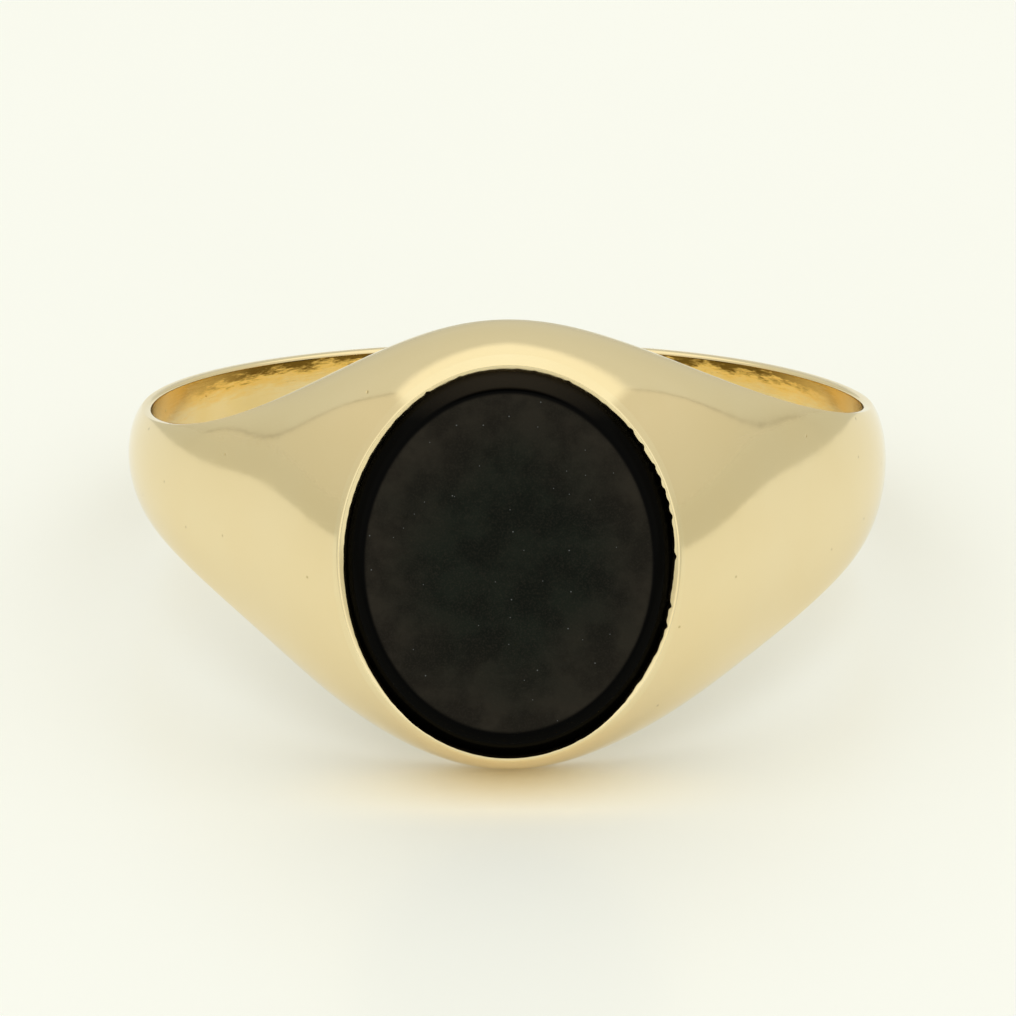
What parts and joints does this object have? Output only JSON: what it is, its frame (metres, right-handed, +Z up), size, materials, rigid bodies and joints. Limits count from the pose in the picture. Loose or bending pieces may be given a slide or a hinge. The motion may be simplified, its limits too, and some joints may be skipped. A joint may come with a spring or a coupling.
{
  "type": "signet ring",
  "caption": "Polished gold signet ring with a flat oval black onyx in a rubbed-over setting, lying on its side, finger hole open.",
  "frame": {"origin": "centre of the finger hole, midway along the finger", "axes": "+Z is up, with the ring lying on its side as it rests on a table; the face looks towards -Y, tipped up 14.5 degrees; +X is to the right, seen from the front"},
  "size_m": [0.021, 0.0239, 0.0121],
  "materials": {
    "gold": "polished 14 ct yellow gold",
    "rim_gold": "burnished 14 ct yellow gold",
    "cement": "aged brown setting cement",
    "onyx": "polished black onyx"
  },
  "bodies": {
    "root": {"ring_body": "gold", "bezel_collet": "rim_gold", "stone_bearer": "gold", "stone_cement": "cement", "onyx_stone": "onyx"}
  },
  "joints": []
}
